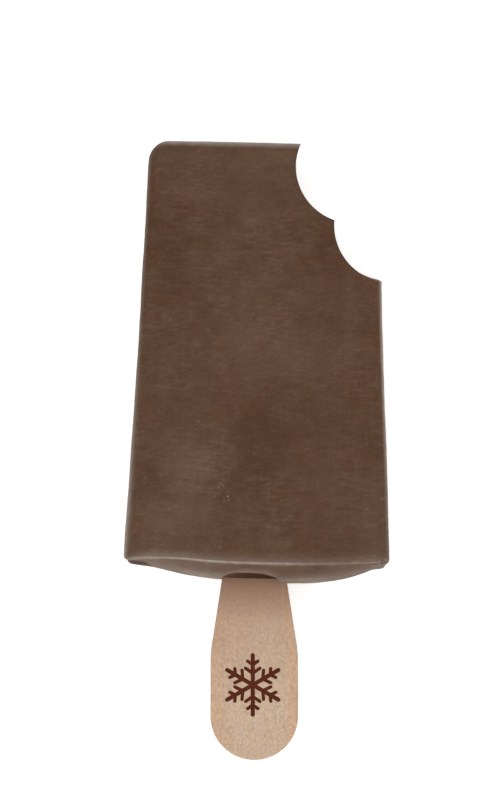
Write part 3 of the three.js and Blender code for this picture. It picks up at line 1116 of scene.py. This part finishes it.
def base_frost_and_light(points):
    """The bloom on the open base face, with a painted sheen along its middle and a painted highlight on the
    lip round the pocket's arch.
    """
    x, _, z = points.T
    in_middle = 1 - MIDDLE_SHEEN_ACROSS_LOSS * smooth_step(*MIDDLE_SHEEN_ACROSS, np.abs(x))
    # Painted sheen, paler towards the middle of the base face through the bar
    bloom = BLOOM_LEAST + MIDDLE_SHEEN * smooth_step(*MIDDLE_SHEEN_THROUGH, np.abs(z)) * in_middle
    at_sides = BLOOM_LEFT * smooth_step(*BLOOM_LEFT_GROWTH, x)
    bloom += at_sides + BLOOM_RIGHT * smooth_step(*BLOOM_RIGHT_GROWTH, x)
    bloom *= smooth_step(*BLOOM_CORNER, x)
    bloom += CORNER_FROST * smooth_step(*CORNER_FROST_ACROSS, x) * smooth_step(*CORNER_FROST_FRONT, z)
    # Painted highlight on the lip round the pocket's arch
    arch = (np.abs(x - STICK_OFFSET - POCKET_OFFSET) / POCKET_HALF_WIDTH) ** POCKET_ROUNDNESS
    arch += (np.maximum(z, 0) / POCKET_HEIGHT) ** POCKET_ROUNDNESS
    return np.maximum(bloom, ARCH_HIGHLIGHT * smooth_step(*ARCH_FADE, arch) * (z > 0))


def painted_shade_corner(points):
    """Painted shade in the corner at the left of the base face, behind its frost."""
    x, _, z = points.T
    through = smooth_step(*DARK_FRONT, z) * smooth_step(*DARK_BACK, z)
    return DARK_STRENGTH * smooth_step(*DARK_ACROSS, x) * through


def smudge_share(points):
    """How much paler or darker the smudges make each point of the front."""
    x, y, z = points.T
    smudge = np.zeros(len(points))
    for across, along, wide, high, strength in SMUDGES:
        smudge += strength * bell(x, across, wide) * bell(y, along, high)
    return smudge * (z > 0)


def paint_bar(mesh):
    """Says how frosted, smudged, open, bitten or wet each point of the carved bar is; the frost also holds
    painted highlights and sheen, and the wetness painted shade.
    """
    points = mesh_points(mesh)
    x, y, _ = points.T
    sides, base = skin_depths(points)
    chipped = chip_share(points)
    inside = smooth_step(*CUT_DEPTH, np.minimum(sides, base) - CHIP_DEPTH * chipped)
    open_face = (1 - smooth_step(*OPEN_DEPTH, base)) * (1 - inside)
    skin = np.maximum(halo_frost(x, base), edge_frost_and_highlight(points))
    skin = lerp(skin, base_frost_and_light(points), open_face)
    # Painted shade in the left corner of the base face
    dark = open_face * painted_shade_corner(points)
    glitter = smooth_step(*CRYSTAL_RANGE, fractal(points, CRYSTAL_SIZE, 2, shift=3.0))
    crystals = CRYSTAL_STRENGTH * chipped * glitter
    # Frost, with painted highlights along the rim and edges and painted sheen on the base face
    frost_and_light = np.maximum.reduce([rim_highlight_line(points, sides), skin, crystals])
    set_attribute(mesh, "smudge", smudge_share(points))
    set_attribute(mesh, "open", open_face * (1 + DARK_ROUGHNESS * dark))
    set_attribute(mesh, "frost_and_light", frost_and_light * (1 - inside))
    set_attribute(mesh, "bitten", inside * smooth_step(*BITTEN_FROM, y))
    # Wet pocket walls and the left corner, darkened with painted shade
    set_attribute(mesh, "wet_and_shade", np.maximum(inside * (1 - smooth_step(*WET_AND_SHADE_UP_END, y)), dark))


def bar_mesh():
    """The moulded bar less its bites, its pocket and the stick's slot, painted."""
    mesh = moulded_mesh()
    for centre in BITE_CENTRES:
        mesh = carve(mesh, bite_cutter(centre))
    mesh = carve(mesh, pocket_cutter())
    mesh = carve(mesh, slot_cutter())
    paint_bar(mesh)
    mesh.materials.clear()
    mesh.materials.append(ice_material())
    return mesh


# The amber strip inside the stick's long edges, in mm
AMBER_INSET = 1.0
AMBER_WIDTH = 1.1


def paint_stick(mesh):
    """Says how near each point of the stick is to the strip inside its long edges."""
    turned = mesh_points(mesh) - (STICK_OFFSET, 0, 0)
    turn = np.array(Matrix.Rotation(STICK_TURN, 3, "Z"))
    x, y, _ = (turned @ turn).T
    inset = np.interp(y, *shoulder_line()) - np.abs(x)
    set_attribute(mesh, "edge", bell(inset, AMBER_INSET, AMBER_WIDTH))


def stick_mesh():
    """The stick with the mark burnt into it, painted."""
    points, quads = stick_lattice(STICK_STEPS)
    mesh = new_mesh("stick", points, quads)
    mesh.materials.append(wood_material())
    cutter = mark_cutter()
    cutter.materials.append(burnt_material())
    mesh = carve(mesh, cutter, "EXACT")
    paint_stick(mesh)
    return mesh


# Edges sharper than this stay sharp in the shading
SHARP_ANGLE = math.radians(42)

# The coarse bar and stick that the whole is measured with
ROUGH_BAR_STEPS = (40, 60, 20)
ROUGH_STICK_STEPS = (12, 60, 2)


def to_frame():
    """The matrix that lays the bar on its back, in line with Y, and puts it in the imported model's box."""
    lie = Matrix.Rotation(-STICK_TURN, 4, "Z") @ Matrix.Rotation(-DRAFT_ANGLE, 4, "X")
    lattice, _ = box_lattice(ROUGH_BAR_STEPS)
    rough = np.concatenate([bar_points(lattice)[0], stick_lattice(ROUGH_STICK_STEPS)[0]])
    lain = rough @ np.array(lie.to_3x3()).T
    low, high = np.array(cad_box[0]) / MM, np.array(cad_box[1]) / MM
    middle = (lain.min(axis=0) + lain.max(axis=0)) / 2
    shift = (low + high) / 2 - middle
    shift[2] = low[2] - lain[:, 2].min()
    return Matrix.Scale(MM, 4) @ Matrix.Translation(shift) @ lie


def place_piece(name, mesh, matrix, node):
    """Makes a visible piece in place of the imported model's node."""
    mesh.transform(matrix)
    mesh.shade_smooth()
    mesh.set_sharp_from_angle(angle=SHARP_ANGLE)
    piece = new_object(name, mesh)
    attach(piece, "root")
    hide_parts(node)


def make_pieces():
    bar, stick = bar_mesh(), stick_mesh()
    matrix = to_frame()
    place_piece("bitten_bar", bar, matrix, "ice_cream")
    place_piece("shaped_stick", stick, matrix, "stick")


# Stage: a pale floor, a camera above the bar, and soft studio light. Places are in metres.
CAMERA_TARGET = Vector((-0.00127, 0.00919, 0.020))
CAMERA_DISTANCE = 0.597
CAMERA_ELEVATION = math.radians(84)
CAMERA_LENS = 135
CAMERA_NEAR = 0.01
FLOOR_SIZE = 6.0
FLOOR_DROP = 0.0003


def make_floor():
    half = FLOOR_SIZE / 2
    corners = [(-half, -half, 0), (half, -half, 0), (half, half, 0), (-half, half, 0)]
    mesh = new_mesh("floor", corners, [(0, 1, 2, 3)])
    mesh.materials.append(floor_material())
    floor = new_object("floor", mesh)
    floor.location.z = cad_box[0][2] - FLOOR_DROP


def make_camera():
    camera = bpy.data.objects.new("camera", bpy.data.cameras.new("camera"))
    bpy.context.scene.collection.objects.link(camera)
    back = Vector((0, -math.cos(CAMERA_ELEVATION), math.sin(CAMERA_ELEVATION)))
    camera.location = CAMERA_TARGET + back * CAMERA_DISTANCE
    camera.rotation_euler = (math.pi / 2 - CAMERA_ELEVATION, 0, 0)
    camera.data.lens = CAMERA_LENS
    camera.data.clip_start = CAMERA_NEAR
    bpy.context.scene.camera = camera


# Each light: where it hangs, its size and its power. All of them point at the origin.
LIGHTS = (
    ((-0.25, -0.15, 1.1), 1.0, 6.0),
    ((0.9, 0.3, 0.7), 0.8, 2.4),
    ((-0.2, -1.1, 0.5), 0.8, 2.4),
)
WORLD_STRENGTH = 0.50


def make_lights():
    for number, (place, size, power) in enumerate(LIGHTS):
        light = bpy.data.lights.new(f"soft_{number}", "AREA")
        light.size = size
        light.energy = power
        lamp = bpy.data.objects.new(light.name, light)
        lamp.location = place
        lamp.rotation_euler = (-Vector(place)).to_track_quat("-Z", "Y").to_euler()
        lamp.visible_camera = False
        bpy.context.scene.collection.objects.link(lamp)


def make_world():
    world = bpy.data.worlds.new("studio")
    world.use_nodes = True
    sky = world.node_tree.nodes["Background"]
    sky.inputs["Color"].default_value = (1, 1, 1, 1)
    sky.inputs["Strength"].default_value = WORLD_STRENGTH
    bpy.context.scene.world = world
    bpy.context.scene.view_settings.view_transform = "Standard"


make_pieces()
make_floor()
make_camera()
make_lights()
make_world()
